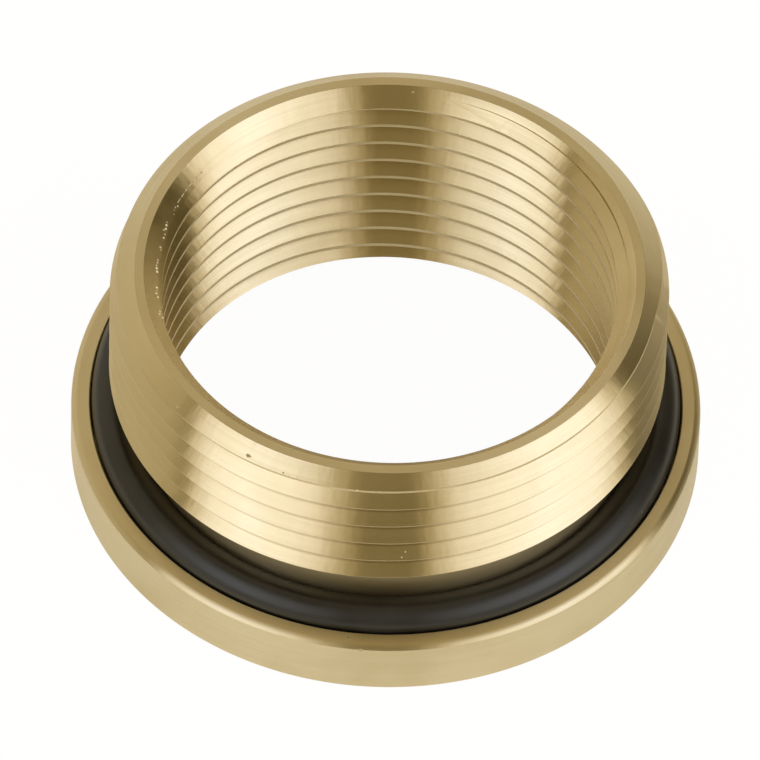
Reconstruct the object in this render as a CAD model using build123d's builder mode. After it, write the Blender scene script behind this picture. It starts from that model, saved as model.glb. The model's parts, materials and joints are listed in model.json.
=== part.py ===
from build123d import *
import os

# Flanged brass thread adapter with a rubber face seal, in millimetres.
# +Z runs up the bore, and the origin is in the middle of the flange's flat underside.

# Pipe threads with 11 turns to the inch: a male 1 1/2 inch outside, a female 1 1/4 inch inside
pitch = 25.4 / 11
thread_depth = 1.479
male_major_d = 47.803
female_major_d = 41.910
male_thread_length = 12.75
countersink_margin = 0.05
groove_overrun = 0.15
bar_allowance = 3.0

# Directions, seen from above, in which the thread grooves leave by their lower ends
male_exit_angle = 280
female_exit_angle = 175

# Tube
total_height = 22.75
top_land_width = 0.85
top_chamfer_height = 1.7
bottom_countersink_depth = 1.2
neck_d = 43.6

# Flange and the groove for the seal
flange_d = 54.25
rim_height = 5.4
rim_bevel = 0.35
base_edge_break = 0.1
seal_groove_d = 51.0
seal_groove_depth = 1.8
seal_groove_edge_break = 0.1

# Seal
seal_section_d = 3.53
seal_clearance = 0.05

# Radii and heights that follow from the sizes above
male_major_r = male_major_d / 2
male_minor_r = male_major_r - thread_depth
male_thread_bottom = total_height - male_thread_length
female_major_r = female_major_d / 2
female_minor_r = female_major_r - thread_depth
countersink_r = female_major_r + countersink_margin
countersink_depth = countersink_r - female_minor_r
top_land_r = countersink_r + top_land_width
neck_r = neck_d / 2
flange_r = flange_d / 2
seal_groove_r = seal_groove_d / 2
seal_groove_floor = rim_height - seal_groove_depth
bar_bottom = -bar_allowance
bar_top = total_height + bar_allowance
groove_lead = pitch / 2
groove_lead_angle = 180


def half_section(*corners):
    """Return a straight-sided face in the XZ plane from its (radius, height) corners."""
    with BuildSketch(Plane.XZ) as section:
        with BuildLine():
            Polyline(*corners, close=True)
        make_face()
    return section.sketch


def thread_groove(root_r, outward, start_z, end_z):
    """Return the metal that one right-hand V groove takes away, starting in the +X direction.

    outward is 1 for a groove in the outside of a wall and -1 for one inside a bore.
    """
    half_root = pitch / 12
    flank_slope = (pitch / 2 - 2 * half_root) / thread_depth
    depth = thread_depth + groove_overrun
    half_mouth = half_root + flank_slope * depth
    mouth_r = root_r + outward * depth
    with BuildPart() as groove:
        with BuildLine() as path:
            Helix(pitch=pitch, height=end_z - start_z, radius=root_r, center=(0, 0, start_z))
        section = half_section(
            (root_r, start_z - half_root),
            (mouth_r, start_z - half_mouth),
            (mouth_r, start_z + half_mouth),
            (root_r, start_z + half_root),
        )
        sweep(section, path=path.line, is_frenet=True)
    return groove.part


# Each groove starts half a turn below the end that it leaves by, and runs on past the top
male_groove = thread_groove(
    male_minor_r, 1, male_thread_bottom - groove_lead, total_height + groove_lead
)
female_groove = thread_groove(female_major_r, -1, -groove_lead, total_height + groove_lead)

# Body: threaded while it is still a plain flanged bar, then turned to its final section
with BuildPart() as adapter_body:
    bar = half_section(
        (female_minor_r, bar_bottom),
        (flange_r, bar_bottom),
        (flange_r, rim_height),
        (male_major_r, rim_height),
        (male_major_r, bar_top),
        (female_minor_r, bar_top),
    )
    revolve(bar, axis=Axis.Z)
    add(male_groove, rotation=(0, 0, male_exit_angle - groove_lead_angle), mode=Mode.SUBTRACT)
    add(female_groove, rotation=(0, 0, female_exit_angle - groove_lead_angle), mode=Mode.SUBTRACT)

    # Top end: the bore's countersink, the flat land and the lead-in chamfer of the male thread
    top_end = half_section(
        (female_minor_r, total_height - countersink_depth),
        (countersink_r, total_height),
        (top_land_r, total_height),
        (male_major_r, total_height - top_chamfer_height),
        (flange_r, total_height - top_chamfer_height),
        (flange_r, bar_top + bar_allowance),
        (female_minor_r, bar_top + bar_allowance),
    )
    revolve(top_end, axis=Axis.Z, mode=Mode.SUBTRACT)

    # Underside: the flat base with its broken edge, and a slightly smaller countersink
    underside = half_section(
        (female_minor_r, bottom_countersink_depth),
        (female_minor_r + bottom_countersink_depth, 0),
        (flange_r - base_edge_break, 0),
        (flange_r, base_edge_break),
        (flange_r + bar_allowance, base_edge_break),
        (flange_r + bar_allowance, bar_bottom - bar_allowance),
        (female_minor_r, bar_bottom - bar_allowance),
    )
    revolve(underside, axis=Axis.Z, mode=Mode.SUBTRACT)

    # Neck under the male thread, and the groove in the flange that holds the seal
    neck_and_seal_groove = half_section(
        (neck_r, seal_groove_floor),
        (seal_groove_r, seal_groove_floor),
        (seal_groove_r, rim_height - seal_groove_edge_break),
        (seal_groove_r + seal_groove_edge_break, rim_height),
        (seal_groove_r + seal_groove_edge_break, male_thread_bottom),
        (neck_r, male_thread_bottom),
    )
    revolve(neck_and_seal_groove, axis=Axis.Z, mode=Mode.SUBTRACT)

    # Bevel round the top of the rim
    rim_edge = adapter_body.edges().filter_by(GeomType.CIRCLE).sort_by(SortBy.RADIUS)[-2:]
    chamfer(rim_edge.sort_by(Axis.Z)[-1], length=rim_bevel)

# Seal: a round-section rubber ring, seated on the floor of its groove around the neck
seal_centre_r = neck_r + seal_clearance + seal_section_d / 2
seal_centre_z = seal_groove_floor + seal_section_d / 2
with BuildPart() as o_ring:
    with BuildSketch(Plane.XZ):
        with Locations((seal_centre_r, seal_centre_z)):
            Circle(seal_section_d / 2)
    revolve(axis=Axis.Z)

os.makedirs("parts", exist_ok=True)
adapter_body.part.label = "adapter_body"
export_step(adapter_body.part, "parts/adapter_body.step")
o_ring.part.label = "o_ring"
export_step(o_ring.part, "parts/o_ring.step")
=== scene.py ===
import json
import math
import random

import bmesh
import bpy
from mathutils import Matrix, Vector


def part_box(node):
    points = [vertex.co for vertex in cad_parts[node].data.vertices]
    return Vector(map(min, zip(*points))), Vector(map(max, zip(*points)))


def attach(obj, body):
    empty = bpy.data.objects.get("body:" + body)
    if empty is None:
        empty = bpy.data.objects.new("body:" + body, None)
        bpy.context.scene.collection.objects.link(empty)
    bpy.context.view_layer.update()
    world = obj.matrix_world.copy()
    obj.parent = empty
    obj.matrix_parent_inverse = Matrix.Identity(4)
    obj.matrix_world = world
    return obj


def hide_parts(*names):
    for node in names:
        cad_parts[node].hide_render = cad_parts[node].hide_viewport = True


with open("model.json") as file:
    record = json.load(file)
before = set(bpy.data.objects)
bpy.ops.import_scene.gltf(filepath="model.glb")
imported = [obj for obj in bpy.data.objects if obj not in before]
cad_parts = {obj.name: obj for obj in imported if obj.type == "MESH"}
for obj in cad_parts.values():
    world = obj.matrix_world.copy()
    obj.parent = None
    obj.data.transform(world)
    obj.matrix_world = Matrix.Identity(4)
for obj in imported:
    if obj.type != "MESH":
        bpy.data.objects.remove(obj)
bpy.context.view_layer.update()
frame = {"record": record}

# Flanged brass thread adapter with a rubber ring in its flange, in metres.
# +Z runs up the bore, the origin is in the middle of the underside, and the camera looks from -Y.
MM = 0.001

# Sizes that the frame gives
body_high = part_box("adapter_body")[1]
ring_low, ring_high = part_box("o_ring")
mount_sizes = {mount["name"]: mount["dims"] for mount in frame["record"]["mounts"]}
flange_r = body_high.x
total_height = body_high.z
male_major_r = mount_sizes["male_thread"]["r_mm"] * MM
male_thread_length = mount_sizes["male_thread"]["length_mm"] * MM
male_bottom = total_height - male_thread_length
female_minor_r = mount_sizes["female_thread"]["r_mm"] * MM
ring_section_r = (ring_high.z - ring_low.z) / 2
ring_centre_r = ring_high.x - ring_section_r
ring_centre_z = ring_low.z + ring_section_r

# Pipe threads with 11 turns to the inch: each crest has a width and a rounding, and each groove leaves by
# its lower end in the direction of its exit angle
pitch = 25.4 * MM / 11
thread_depth = 1.479 * MM
groove_depth = 1.0 * MM
male_crest = (0.025 * MM, 0.01 * MM)
female_crest = (0.36 * MM, 0.05 * MM)
male_root_width = pitch / 9
female_root_width = pitch / 6
root_round = 0.15 * MM
male_exit_angle = math.radians(280)
female_exit_angle = math.radians(175)

# Threaded rods that carve the threads: their turns, how far their tips reach beyond the body, and how far
# the male one spreads out below the thread, so that it leaves the flange whole
male_turns = 8
female_turns = 13
tip_reach = 3 * total_height
male_spread_r = 1.5 * flange_r
carving_spare = 0.05 * MM

# Turned faces
ring_clearance = 0.05 * MM
neck_r = ring_centre_r - ring_section_r - ring_clearance
countersink_margin = 0.05 * MM
countersink_r = female_minor_r + thread_depth + countersink_margin
top_land_width = 0.85 * MM
top_chamfer_height = 1.7 * MM
top_countersink = 1.36 * MM
bottom_countersink = 1.2 * MM
seal_groove_gap = 0.12 * MM
seal_groove_edge = 0.1 * MM
rim_height = 5.4 * MM
rim_bevel_width = 0.4 * MM
rim_bevel_height = 0.32 * MM
base_edge = 0.1 * MM
edge_round = 0.06 * MM
fine_round = edge_round / 2
neck_round = 2 * edge_round
groove_round = 4 * edge_round
bevel_round = 0.42 * MM

# Marks from the workshop, each with a direction from -Y towards +X in degrees, a radius, a height and
# three half-sizes, around, outward and upward, in millimetres
burrs = [
    (-50.3, 22.95, 21.95, 0.16, 0.12, 0.12),
    (-5.5, 23.08, 21.72, 0.1, 0.08, 0.08),
    (-0.7, 23.08, 21.72, 0.12, 0.08, 0.08),
    (5, 23.39, 13.96, 0.08, 0.08, 0.1),
    (4.2, 23.71, 13.63, 0.09, 0.08, 0.09),
    (175.8, 20.62, 22.37, 0.14, 0.12, 0.12),
]
nicks = [
    (-30.2, 22.98, 22.0, 0.42, 0.3, 0.2),
    (-21.6, 23.1, 21.86, 0.28, 0.16, 0.16),
    (-20.4, 23.14, 21.8, 0.18, 0.14, 0.14),
    (-18.4, 23.14, 21.8, 0.22, 0.12, 0.12),
    (-3.2, 27.15, 5.05, 0.3, 0.14, 0.16),
    (-4.4, 27.15, 5.05, 0.2, 0.1, 0.12),
    (-21.5, 27.14, 0.9, 0.09, 0.08, 0.09),
    (2.8, 27.14, 2.65, 0.12, 0.07, 0.06),
    (-25.7, 27.14, 4.6, 0.12, 0.08, 0.07),
]

# Burrs along the lower edge of the top countersink, in the same units: a raised line, and clusters that
# have a direction and a count each
edge_burr_r = female_minor_r / MM + 0.5
edge_burr_height = total_height / MM - 1.05
burr_ridge = range(-124, -112, 2)
burr_ridge_lift = 0.1
burr_ridge_sizes = (0.42, 0.08, 0.08)
burr_clusters = [(-111, 4), (-104, 6), (-98, 2), (-92.5, 5), (-84, 4), (-77, 3)]
burr_step = 0.9
burr_step_error = 0.2
burr_drift = 0.12
burr_half_size = (0.12, 0.19)
burr_stretch = 1.2
burr_seed = 7

# Brass: its colours, its finishes as (roughness, anisotropy), what the tool and time left on it, and painted
# shade at the thread's roots and on the neck
clean_brass = (0.82, 0.72, 0.49, 1)
# The duller brass also serves as painted shade on the neck under the thread
dull_brass_and_neck_shade = (0.7, 0.59, 0.36, 1)
dirt_brown = (0.16, 0.11, 0.06, 1)
# The next brown is painted shade for the roots of the male thread's grooves
root_shade_brown = (0.3, 0.22, 0.1, 1)
turned_finish = (0.23, 1)
faced_finish = (0.3, 0.8)
neck_finish = (0.4, 0.8)
bevel_finish = (0.31, 1)
marked_finish = (0.3, 0)
brushing_turn = 0.25
roughness_spread = 0.015
tool_marks_density = 5 / MM
tool_marks_change = 1.5
tool_marks_share = 0.14
chatter_density = 17
chatter_depth = 0.012 * MM
tarnish_density = 0.13 / MM
tarnish_share = 0.55
fleck_spacing = 2.6 * MM
fleck_size = 0.07 * MM
fleck_share = 0.2
# Painted shade at the roots of the male thread's grooves: how dark it gets and how far it reaches
root_shade_share = 0.4
root_shade_reach = 0.2 * MM

# Rubber
clean_rubber = (0.006, 0.006, 0.0055, 1)
bloomed_rubber = (0.014, 0.014, 0.013, 1)
dust_grey = (0.4, 0.39, 0.36, 1)
rubber_roughness = (0.3, 0.38)
rubber_shine = 0.75
rubber_shine_tint = (0.96, 0.97, 0.95, 1)
bloom_density = 0.25 / MM
grain_density = 9 / MM
grain_depth = 0.004 * MM
dust_spacing = 2.2 * MM
dust_size = 0.11 * MM
dust_share = 0.16

# Camera with a long lens: angles in degrees, lens in millimetres of a 36 mm sensor
camera_elevation = 51.0
camera_roll = -1.77
camera_sensor = 36
camera_lens = 757.9
camera_distance = 1.383
camera_aim_right = -0.41 * MM
camera_aim_up = 5.2 * MM

# Studio light: levels all around as (angle in degrees, level), and the four heights between which the
# panels fade in and out
panel_levels = [
    (-180, 0.55), (-150, 0.75), (-95, 0.72), (-60, 0.53), (-51, 0.46), (-48.5, 0.29), (-46.8, 0.31),
    (-45, 0.76), (-40, 1.32), (-30, 1.54), (-20, 1.38), (-15, 1.14), (-10, 0.62), (-7.5, 0.44),
    (-5.5, 0.24), (-4, 0.21), (6.5, 0.2), (8.5, 0.42), (10, 0.6), (16, 1.18), (24, 1.36), (36, 1.56),
    (50, 1.46), (55, 1.18), (58, 0.79), (62, 0.22), (65, 0.07), (77, 0.08), (90, 0.17), (105, 0.4),
    (140, 0.5), (180, 0.55),
]
panel_heights = (0.04, 0.28, 0.75, 0.95)
panel_strength = 1.7
panel_tint = (1, 1.02, 1.12)
room_level = 0.34
room_tint = (1, 0.74, 0.22)
back_level = 0.5
back_radii = (0.05, 0.18)

# Floor: its own grey, how brightly it glows to the camera, and how much of that the brass mirrors
white = (1, 1, 1, 1)
floor_half_width = 60 * flange_r
floor_drop = 0.01 * MM
floor_grey = (0.95, 0.95, 0.95, 1)
floor_roughness = 0.8
floor_glow = 1.04
floor_glow_share = 0.92
floor_mirror_share = 0.405
# Inside the bore the floor glows less to the brass, as a painted shadow of the tube
bore_shadow_mirror_share = 0.6 * floor_mirror_share
floor_mirror_tint = (1, 0.94, 0.76, 1)

# Mesh fineness
COLUMNS = 288
ARC_STEPS = 2
RING_STEPS = 56
SLIVER = 0.0005 * MM
SHARP_ANGLE = math.radians(32)

# Places of the body's finishes in its list of materials, and what tells its faces apart
FACED, NECK, BEVELLED = 1, 2, 3
FLAT_RISE = 0.99
BEVEL_RISE = 0.1
NECK_TOLERANCE = 0.05 * MM


def new_piece(name, vertices, faces):
    mesh = bpy.data.meshes.new(name)
    mesh.from_pydata(vertices, [], faces)
    mesh.update()
    piece = bpy.data.objects.new(name, mesh)
    bpy.context.scene.collection.objects.link(piece)
    return piece


def around(radius, angle, height):
    return (radius * math.cos(angle), radius * math.sin(angle), height)


def rounded(corners, closed=True):
    """Points of an outline whose corners, given as (x, y, radius), are rounded off."""
    points = []
    count = len(corners)
    for i, (x, y, radius) in enumerate(corners):
        here = Vector((x, y))
        if radius == 0 or (not closed and i in (0, count - 1)):
            points.append(here)
            continue
        before = (Vector(corners[i - 1][:2]) - here).normalized()
        after = (Vector(corners[(i + 1) % count][:2]) - here).normalized()
        half_angle = before.angle(after) / 2
        reach = radius / math.tan(half_angle)
        centre = here + (before + after).normalized() * radius / math.sin(half_angle)
        start = here + before * reach - centre
        end = here + after * reach - centre
        sweep = start.angle_signed(end)
        for step in range(ARC_STEPS + 1):
            points.append(centre + Matrix.Rotation(-sweep * step / ARC_STEPS, 2) @ start)
    return points


def lathe(name, outline):
    """A closed ring whose half-section is an outline of (radius, height), taken anticlockwise."""
    rows = len(outline)
    vertices = []
    for column in range(COLUMNS):
        angle = math.tau * column / COLUMNS
        vertices += [around(radius, angle, height) for radius, height in outline]
    faces = []
    for column in range(COLUMNS):
        here = column * rows
        there = (column + 1) % COLUMNS * rows
        for row in range(rows):
            above = (row + 1) % rows
            faces.append((here + row, there + row, there + above, here + above))
    return new_piece(name, vertices, faces)


def turned_outline():
    """Half-section of the body with a narrower bore and a thicker bar where its threads go."""
    bore_r = female_minor_r - 4 * carving_spare
    bore_depth = top_countersink * (countersink_r - bore_r) / (countersink_r - female_minor_r)
    land_r = countersink_r + top_land_width
    chamfer_slope = top_chamfer_height / (male_major_r - land_r)
    bar_r = male_major_r + carving_spare
    bar_top = total_height - (bar_r - land_r) * chamfer_slope
    groove_r = ring_high.x + seal_groove_gap
    groove_floor = ring_low.z
    return rounded([
        (female_minor_r + bottom_countersink, 0, edge_round),
        (flange_r - base_edge, 0, fine_round),
        (flange_r, base_edge, fine_round),
        (flange_r, rim_height - rim_bevel_height, bevel_round),
        (flange_r - rim_bevel_width, rim_height, bevel_round),
        (groove_r + seal_groove_edge, rim_height, fine_round),
        (groove_r, rim_height - seal_groove_edge, fine_round),
        (groove_r, groove_floor, groove_round),
        (neck_r, groove_floor, groove_round),
        (neck_r, male_bottom, neck_round),
        (bar_r, male_bottom, 0),
        (bar_r, bar_top, 0),
        (land_r, total_height, edge_round),
        (countersink_r, total_height, edge_round),
        (bore_r, total_height - bore_depth, 0),
        (bore_r, bottom_countersink + female_minor_r - bore_r, 0),
    ])


def thread_rows(groove_r, land_r, root_width, crest):
    """One pitch of a thread's outline as (rise, radius), from one groove's middle to the next."""
    crest_width, crest_round = crest
    corners = [
        (-root_width / 2, groove_r, 0),
        (root_width / 2, groove_r, root_round),
        ((pitch - crest_width) / 2, land_r, crest_round),
        ((pitch + crest_width) / 2, land_r, crest_round),
        (pitch - root_width / 2, groove_r, root_round),
        (pitch + root_width / 2, groove_r, 0),
    ]
    return rounded(corners, closed=False)[1:-1]


def threaded_rod(name, rows_in_pitch, start, turns, spread_r):
    """A closed rod with a right-hand thread, whose first row leaves start at angle 0.

    The rod's lower end spreads out to spread_r, if that is given, and both ends run to a tip on the axis."""
    step = len(rows_in_pitch)
    rows = step * turns
    vertices = []
    for column in range(COLUMNS):
        angle = math.tau * column / COLUMNS
        lift = start + pitch * column / COLUMNS
        for row in range(rows):
            rise, radius = rows_in_pitch[row % step]
            vertices.append(around(radius, angle, lift + rise + pitch * (row // step)))

    # The last column joins the first one a whole pitch higher up
    faces = []
    for column in range(COLUMNS):
        here = column * rows
        last = column == COLUMNS - 1
        there = step if last else here + rows
        for row in range(rows - 1 - (step if last else 0)):
            faces.append((here + row, there + row, there + row + 1, here + row + 1))
    bottom = [column * rows for column in reversed(range(COLUMNS))] + list(range(1, step + 1))
    last_column = (COLUMNS - 1) * rows
    top = [column * rows + rows - 1 for column in range(COLUMNS)]
    top += [last_column + rows - 1 - drop for drop in range(1, step + 1)]

    if spread_r:
        spread = []
        for index in bottom:
            x, y, z = vertices[index]
            grow = spread_r / math.hypot(x, y)
            spread.append(len(vertices))
            vertices.append((x * grow, y * grow, z))
        for i, index in enumerate(bottom):
            after = (i + 1) % len(bottom)
            faces.append((index, bottom[after], spread[after], spread[i]))
        bottom = spread
    for loop, tip_height in ((bottom, start - spread_r - tip_reach), (top, tip_reach)):
        tip = len(vertices)
        vertices.append((0, 0, tip_height))
        faces += [(index, loop[(i + 1) % len(loop)], tip) for i, index in enumerate(loop)]
    return new_piece(name, vertices, faces)


def male_rod():
    rows = thread_rows(male_major_r - groove_depth, male_major_r, male_root_width, male_crest)
    start = male_bottom - pitch * (male_exit_angle / math.tau + 1)
    return threaded_rod("male_tool", rows, start, male_turns, male_spread_r)


def female_rod():
    rows = thread_rows(female_minor_r + groove_depth, female_minor_r, female_root_width, female_crest)
    start = -pitch * (female_exit_angle / math.tau + 1)
    return threaded_rod("female_tool", rows, start, female_turns, 0)


def edge_burrs():
    """A raised line and clusters of burrs on the lower edge of the top countersink."""
    chance = random.Random(burr_seed)
    ridge_height = edge_burr_height + burr_ridge_lift
    places = [(direction, edge_burr_r, ridge_height, *burr_ridge_sizes) for direction in burr_ridge]
    for middle, count in burr_clusters:
        for step in range(count):
            direction = middle + (step - (count - 1) / 2) * burr_step
            direction += chance.uniform(-burr_step_error, burr_step_error)
            drift = chance.uniform(-burr_drift, burr_drift)
            half = chance.uniform(*burr_half_size)
            sizes = (half, half, burr_stretch * half)
            places.append((direction, edge_burr_r + drift, edge_burr_height + drift, *sizes))
    return places


def lumps(name, places, material):
    """Small rough lumps in one piece, at places given in the way of the marks above."""
    shape = bmesh.new()
    for direction, radius, height, *sizes in places:
        place = Matrix.Rotation(math.radians(direction), 4, "Z")
        place @= Matrix.Translation((0, -radius * MM, height * MM))
        place @= Matrix.Diagonal([size * MM for size in sizes] + [1])
        bmesh.ops.create_icosphere(shape, subdivisions=1, radius=1, matrix=place)
    piece = new_piece(name, [], [])
    shape.to_mesh(piece.data)
    shape.free()
    piece.data.materials.append(material)
    return piece


def carve(piece, tool, operation, overlaps=False):
    """Cuts or joins a piece with a tool, whose own parts may overlap and which is then thrown away."""
    boolean = piece.modifiers.new("carve", "BOOLEAN")
    boolean.operation = operation
    boolean.object = tool
    boolean.solver = "EXACT"
    boolean.material_mode = "TRANSFER"
    boolean.use_self = overlaps
    graph = bpy.context.evaluated_depsgraph_get()
    carved = bpy.data.meshes.new_from_object(piece.evaluated_get(graph))
    piece.modifiers.remove(boolean)
    old = piece.data
    piece.data = carved
    bpy.data.meshes.remove(old)
    bpy.data.meshes.remove(tool.data)


def remove_slivers(mesh):
    """Removes the slivers that carving leaves."""
    shape = bmesh.new()
    shape.from_mesh(mesh)
    bmesh.ops.remove_doubles(shape, verts=shape.verts, dist=SLIVER)
    bmesh.ops.triangulate(shape, faces=[face for face in shape.faces if len(face.verts) > 4])
    bmesh.ops.dissolve_degenerate(shape, edges=shape.edges, dist=SLIVER)
    shape.to_mesh(mesh)
    shape.free()


def set_finishes(mesh):
    """Gives the flats, the bevel of the rim and the neck their own finishes; the neck's darker brass is
    painted shade.
    """
    bevel_foot = rim_height - rim_bevel_height
    for face in mesh.polygons:
        if face.material_index > 0:
            continue
        height = face.center.z
        radius = face.center.xy.length
        rise = face.normal.z
        if rise > FLAT_RISE:
            face.material_index = FACED
        elif bevel_foot < height < male_bottom and radius > ring_high.x and rise > BEVEL_RISE:
            face.material_index = BEVELLED
        elif ring_low.z < height < male_bottom and abs(radius - neck_r) < NECK_TOLERANCE:
            face.material_index = NECK


def shade(mesh):
    """Shades faces of one material smoothly together where they meet at a slight angle."""
    shape = bmesh.new()
    shape.from_mesh(mesh)
    for face in shape.faces:
        face.smooth = True
    for edge in shape.edges:
        materials = {face.material_index for face in edge.link_faces}
        edge.smooth = len(materials) == 1 and edge.calc_face_angle(0) < SHARP_ANGLE
    shape.to_mesh(mesh)
    shape.free()


def make_body():
    body = lathe("adapter_body_turned", turned_outline())
    body.data.materials.append(brass("turned_brass", turned_finish))
    body.data.materials.append(brass("faced_brass", faced_finish))
    # The neck is painted darker brass, as painted shade under the thread
    body.data.materials.append(brass("shaded_neck_brass", neck_finish, metal=dull_brass_and_neck_shade))
    body.data.materials.append(brass("bevel_brass", bevel_finish))

    # The thread's brass carries painted shade at the roots of its grooves
    threaded = brass("thread_brass", turned_finish, shaded_roots=True)
    for rod, operation in ((male_rod(), "INTERSECT"), (female_rod(), "DIFFERENCE")):
        rod.data.materials.append(threaded)
        carve(body, rod, operation)
    remove_slivers(body.data)

    marked = brass("marked_brass", marked_finish)
    carve(body, lumps("nick_tool", nicks, marked), "DIFFERENCE")
    carve(body, lumps("burr_tool", burrs + edge_burrs(), marked), "UNION", overlaps=True)

    set_finishes(body.data)
    remove_slivers(body.data)
    shade(body.data)
    weighted = body.modifiers.new("even shading", "WEIGHTED_NORMAL")
    weighted.keep_sharp = True
    return body


def make_ring():
    outline = []
    for step in range(RING_STEPS):
        angle = math.tau * step / RING_STEPS
        outline.append((
            ring_centre_r + ring_section_r * math.cos(angle),
            ring_centre_z + ring_section_r * math.sin(angle),
        ))
    ring = lathe("seal_ring", outline)
    ring.data.shade_smooth()
    ring.data.materials.append(rubber())
    return ring


def new_material(name):
    material = bpy.data.materials.new(name)
    material.use_nodes = True
    tree = material.node_tree
    return material, tree, tree.nodes["Principled BSDF"]


def set_inputs(tree, sockets, values):
    """Links or sets each socket to its value."""
    for socket, value in zip(sockets, values):
        if isinstance(value, bpy.types.NodeSocket):
            tree.links.new(value, socket)
        else:
            socket.default_value = value


def math_node(tree, operation, *values):
    node = tree.nodes.new("ShaderNodeMath")
    node.operation = operation
    set_inputs(tree, node.inputs, values)
    return node.outputs["Value"]


def hypotenuse(tree, first, second):
    squares = math_node(tree, "MULTIPLY_ADD", first, first, math_node(tree, "MULTIPLY", second, second))
    return math_node(tree, "SQRT", squares)


def split(tree, vector):
    """The X, Y and Z of a vector."""
    node = tree.nodes.new("ShaderNodeSeparateXYZ")
    tree.links.new(vector, node.inputs["Vector"])
    return node.outputs["X"], node.outputs["Y"], node.outputs["Z"]


def stretched(tree, *parts):
    """A vector whose parts are values, each given as (value, factor)."""
    node = tree.nodes.new("ShaderNodeCombineXYZ")
    for socket, (value, factor) in zip(node.inputs, parts):
        tree.links.new(math_node(tree, "MULTIPLY", value, factor), socket)
    return node.outputs["Vector"]


def fade(tree, value, start, end, low=0.0, high=1.0):
    """A soft step of a value, from low at start to high at end."""
    if start > end:
        start, end = end, start
        low, high = high, low
    node = tree.nodes.new("ShaderNodeMapRange")
    node.interpolation_type = "SMOOTHSTEP"
    tree.links.new(value, node.inputs["Value"])
    node.inputs["From Min"].default_value = start
    node.inputs["From Max"].default_value = end
    node.inputs["To Min"].default_value = low
    node.inputs["To Max"].default_value = high
    return node.outputs["Result"]


def colour_mix(tree, factor, first, second):
    """A mix of two colours, whose sockets come after those for plain values and vectors."""
    node = tree.nodes.new("ShaderNodeMix")
    node.data_type = "RGBA"
    set_inputs(tree, (node.inputs[0], node.inputs[6], node.inputs[7]), (factor, first, second))
    return node.outputs[2]


def noise(tree, vector, scale, detail, fourth=None):
    node = tree.nodes.new("ShaderNodeTexNoise")
    tree.links.new(vector, node.inputs["Vector"])
    if fourth:
        node.noise_dimensions = "4D"
        tree.links.new(fourth, node.inputs["W"])
    node.inputs["Scale"].default_value = scale
    node.inputs["Detail"].default_value = detail
    return node.outputs["Fac"]


def flecks(tree, vector, spacing, size, share):
    """1 in small round spots, which lie in a share of the cells of a loose grid."""
    cells = tree.nodes.new("ShaderNodeTexVoronoi")
    tree.links.new(vector, cells.inputs["Vector"])
    cells.inputs["Scale"].default_value = 1 / spacing
    chance = tree.nodes.new("ShaderNodeSeparateColor")
    tree.links.new(cells.outputs["Color"], chance.inputs["Color"])
    chosen = math_node(tree, "LESS_THAN", chance.outputs["Red"], share)
    reach = size / spacing
    return math_node(tree, "MULTIPLY", chosen, fade(tree, cells.outputs["Distance"], reach, reach / 2))


def bumpy(tree, height, depth):
    node = tree.nodes.new("ShaderNodeBump")
    node.inputs["Strength"].default_value = 1
    node.inputs["Distance"].default_value = depth
    tree.links.new(height, node.inputs["Height"])
    return node.outputs["Normal"]


def painted_root_shade(tree, radius, height):
    """How much painted shade darkens a place at the roots of the male thread's grooves."""
    root_r = male_major_r - groove_depth
    outside = fade(tree, radius, root_r + root_shade_reach, root_r + 0.4 * root_shade_reach)
    inside = fade(tree, radius, root_r - root_shade_reach, root_r - 0.5 * root_shade_reach)
    chamfer_foot = total_height - top_chamfer_height
    below = fade(tree, height, chamfer_foot, chamfer_foot - 2 * root_shade_reach, 0, root_shade_share)
    return math_node(tree, "MULTIPLY", math_node(tree, "MULTIPLY", outside, inside), below)


def brass(name, finish, metal=clean_brass, shaded_roots=False):
    """Turned brass, with fine tool marks around the axis, a slight uneven tarnish and flecks of dirt."""
    roughness, anisotropy = finish
    material, tree, shader = new_material(name)
    coordinate = tree.nodes.new("ShaderNodeTexCoord").outputs["Object"]
    x, y, height = split(tree, coordinate)
    radius = hypotenuse(tree, x, y)
    east = math_node(tree, "DIVIDE", x, radius)
    north = math_node(tree, "DIVIDE", y, radius)

    # The marks run around the axis, so they change fast with radius and height and slowly with direction
    marks_place = stretched(
        tree, (radius, tool_marks_density), (height, tool_marks_density), (east, tool_marks_change)
    )
    marks_fourth = math_node(tree, "MULTIPLY", north, tool_marks_change)
    tool_marks = noise(tree, marks_place, 1, 2, marks_fourth)
    chatter_place = stretched(tree, (east, chatter_density), (north, chatter_density), (height, 1 / pitch))
    chatter = noise(tree, chatter_place, 1, 2)
    tarnish = noise(tree, coordinate, tarnish_density, 4)

    colour = colour_mix(tree, fade(tree, tarnish, 0.4, 0.75, 0, tarnish_share), metal, dull_brass_and_neck_shade)
    colour = colour_mix(tree, fade(tree, tool_marks, 0.4, 0.8, 0, tool_marks_share), colour, dull_brass_and_neck_shade)
    dirt = flecks(tree, coordinate, fleck_spacing, fleck_size, fleck_share)
    colour = colour_mix(tree, dirt, colour, dirt_brown)
    # Painted shade at the roots of the male thread's grooves
    if shaded_roots:
        colour = colour_mix(tree, painted_root_shade(tree, radius, height), colour, root_shade_brown)
    tree.links.new(colour, shader.inputs["Base Color"])

    smoothest = roughness - roughness_spread
    roughest = roughness + roughness_spread
    tree.links.new(fade(tree, tool_marks, 0.3, 0.7, smoothest, roughest), shader.inputs["Roughness"])
    tree.links.new(bumpy(tree, chatter, chatter_depth), shader.inputs["Normal"])
    shader.inputs["Metallic"].default_value = 1
    shader.inputs["Anisotropic"].default_value = anisotropy
    shader.inputs["Anisotropic Rotation"].default_value = brushing_turn
    tangent = tree.nodes.new("ShaderNodeTangent")
    tangent.direction_type = "RADIAL"
    tangent.axis = "Z"
    tree.links.new(tangent.outputs["Tangent"], shader.inputs["Tangent"])
    return material


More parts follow.
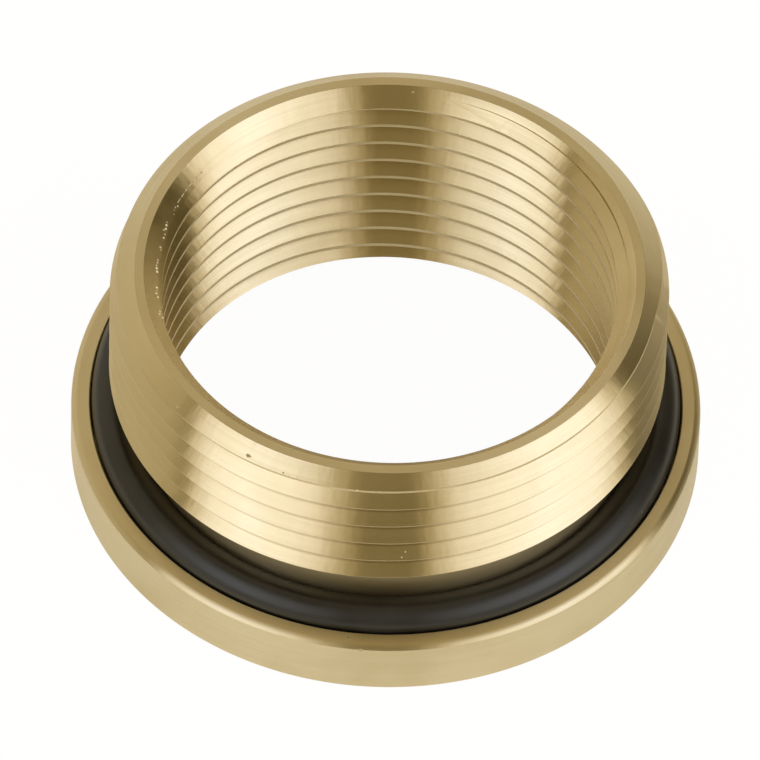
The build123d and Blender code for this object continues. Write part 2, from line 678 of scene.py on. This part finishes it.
def rubber():
    """Black rubber with a fine grain, faint bloom and a little dust."""
    material, tree, shader = new_material("seal_rubber")
    coordinate = tree.nodes.new("ShaderNodeTexCoord").outputs["Object"]
    bloom = noise(tree, coordinate, bloom_density, 4)
    grain = noise(tree, coordinate, grain_density, 2)
    dust = flecks(tree, coordinate, dust_spacing, dust_size, dust_share)
    colour = colour_mix(tree, fade(tree, bloom, 0.35, 0.75), clean_rubber, bloomed_rubber)
    colour = colour_mix(tree, dust, colour, dust_grey)
    tree.links.new(colour, shader.inputs["Base Color"])
    tree.links.new(fade(tree, bloom, 0.3, 0.7, *rubber_roughness), shader.inputs["Roughness"])
    tree.links.new(bumpy(tree, grain, grain_depth), shader.inputs["Normal"])
    shader.inputs["Specular IOR Level"].default_value = rubber_shine
    shader.inputs["Specular Tint"].default_value = rubber_shine_tint
    return material


def light_colour(level):
    """The colour of a level of light, as a share of the panels' strength: the darker, the warmer."""
    share = level / panel_strength
    return [share * (warm + (cool - warm) * share) for warm, cool in zip(room_tint, panel_tint)] + [1]


def panel_light(tree, place):
    """The panels' colour at a place from 0 to 1 around the object."""
    ramp = tree.nodes.new("ShaderNodeValToRGB")
    tree.links.new(place, ramp.inputs["Fac"])
    stops = ramp.color_ramp.elements
    given = len(stops)
    for index, (angle, level) in enumerate(panel_levels):
        position = angle / 360 + 0.5
        stop = stops[index] if index < given else stops.new(position)
        stop.position = position
        stop.color = light_colour(level)
    return ramp.outputs["Color"]


def light_studio():
    """Two large soft panels, left and right of the object, with a dark gap between them.

    A turned face spreads what it mirrors up and down but hardly sideways, so the light is laid out
    by the upright planes that such faces mirror, which all pass through the one above the back."""
    world = bpy.data.worlds.new("studio")
    bpy.context.scene.world = world
    world.use_nodes = True
    tree = world.node_tree
    x, y, height = split(tree, tree.nodes.new("ShaderNodeTexCoord").outputs["Generated"])
    ahead = math_node(tree, "SUBTRACT", math.cos(math.radians(camera_elevation)), y)
    turn = math_node(tree, "ARCTAN2", x, ahead)
    panels = panel_light(tree, math_node(tree, "MULTIPLY_ADD", turn, 1 / math.tau, 0.5))

    foot, full_foot, full_head, head = panel_heights
    above_foot = fade(tree, height, foot, full_foot)
    below_head = fade(tree, height, head, full_head)
    in_panel = math_node(tree, "MULTIPLY", above_foot, below_head)
    sides = colour_mix(tree, in_panel, light_colour(room_level), panels)
    beside_back = fade(tree, hypotenuse(tree, x, ahead), *back_radii)
    light = colour_mix(tree, beside_back, light_colour(back_level), sides)

    lit = tree.nodes["Background"]
    tree.links.new(light, lit.inputs["Color"])
    lit.inputs["Strength"].default_value = panel_strength
    seen = tree.nodes.new("ShaderNodeBackground")
    seen.inputs["Color"].default_value = white
    path = tree.nodes.new("ShaderNodeLightPath")
    mix = tree.nodes.new("ShaderNodeMixShader")
    shaders = (path.outputs["Is Camera Ray"], lit.outputs["Background"], seen.outputs["Background"])
    set_inputs(tree, mix.inputs, shaders)
    tree.links.new(mix.outputs["Shader"], tree.nodes["World Output"].inputs["Surface"])


def white_floor():
    """A pale floor that glows white to the camera, and less to the brass, least of all inside the bore,
    where the dimmer glow is a painted shadow of the tube.
    """
    material, tree, shader = new_material("white_floor")
    shader.inputs["Base Color"].default_value = floor_grey
    shader.inputs["Roughness"].default_value = floor_roughness
    shader.inputs["Specular IOR Level"].default_value = 0
    path = tree.nodes.new("ShaderNodeLightPath")
    camera_ray = path.outputs["Is Camera Ray"]
    glow = tree.nodes.new("ShaderNodeEmission")
    glow.inputs["Strength"].default_value = floor_glow
    tree.links.new(colour_mix(tree, camera_ray, floor_mirror_tint, white), glow.inputs["Color"])

    distance = tree.nodes.new("ShaderNodeVectorMath")
    distance.operation = "LENGTH"
    tree.links.new(tree.nodes.new("ShaderNodeTexCoord").outputs["Object"], distance.inputs[0])
    # Painted shadow of the tube: the floor glows less to the brass inside the bore
    mirror_share = fade(
        tree, distance.outputs["Value"], female_minor_r, flange_r,
        bore_shadow_mirror_share, floor_mirror_share,
    )
    mirror_ray = math_node(
        tree, "MAXIMUM", path.outputs["Is Glossy Ray"], path.outputs["Is Transmission Ray"]
    )
    mirrored = math_node(tree, "MULTIPLY", mirror_ray, mirror_share)
    seen = math_node(tree, "MULTIPLY", camera_ray, floor_glow_share)
    glow_share = math_node(tree, "MAXIMUM", mirrored, seen)

    mix = tree.nodes.new("ShaderNodeMixShader")
    set_inputs(tree, mix.inputs, (glow_share, shader.outputs["BSDF"], glow.outputs["Emission"]))
    tree.links.new(mix.outputs["Shader"], tree.nodes["Material Output"].inputs["Surface"])
    return material


def make_floor():
    half = floor_half_width
    corners = [(-half, -half, 0), (half, -half, 0), (half, half, 0), (-half, half, 0)]
    floor = new_piece("floor", corners, [(0, 1, 2, 3)])
    floor.location.z = -floor_drop
    floor.data.materials.append(white_floor())


def make_camera():
    elevation = math.radians(camera_elevation)
    roll = math.radians(camera_roll)
    level = Vector((1, 0, 0))
    upward = Vector((0, math.sin(elevation), math.cos(elevation)))
    back = Vector((0, -math.cos(elevation), math.sin(elevation)))
    right = math.cos(roll) * level - math.sin(roll) * upward
    up = math.sin(roll) * level + math.cos(roll) * upward
    data = bpy.data.cameras.new("camera")
    data.sensor_width = camera_sensor
    data.lens = camera_lens
    camera = bpy.data.objects.new("camera", data)
    bpy.context.scene.collection.objects.link(camera)
    place = back * camera_distance + right * camera_aim_right + up * camera_aim_up
    axes = Matrix((right, up, back)).transposed().to_4x4()
    camera.matrix_world = Matrix.Translation(place) @ axes
    bpy.context.scene.camera = camera


bpy.context.scene.view_settings.view_transform = "Standard"

body = make_body()
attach(body, "root")
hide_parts("adapter_body")

ring = make_ring()
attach(ring, "root")
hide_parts("o_ring")

make_floor()
light_studio()
make_camera()
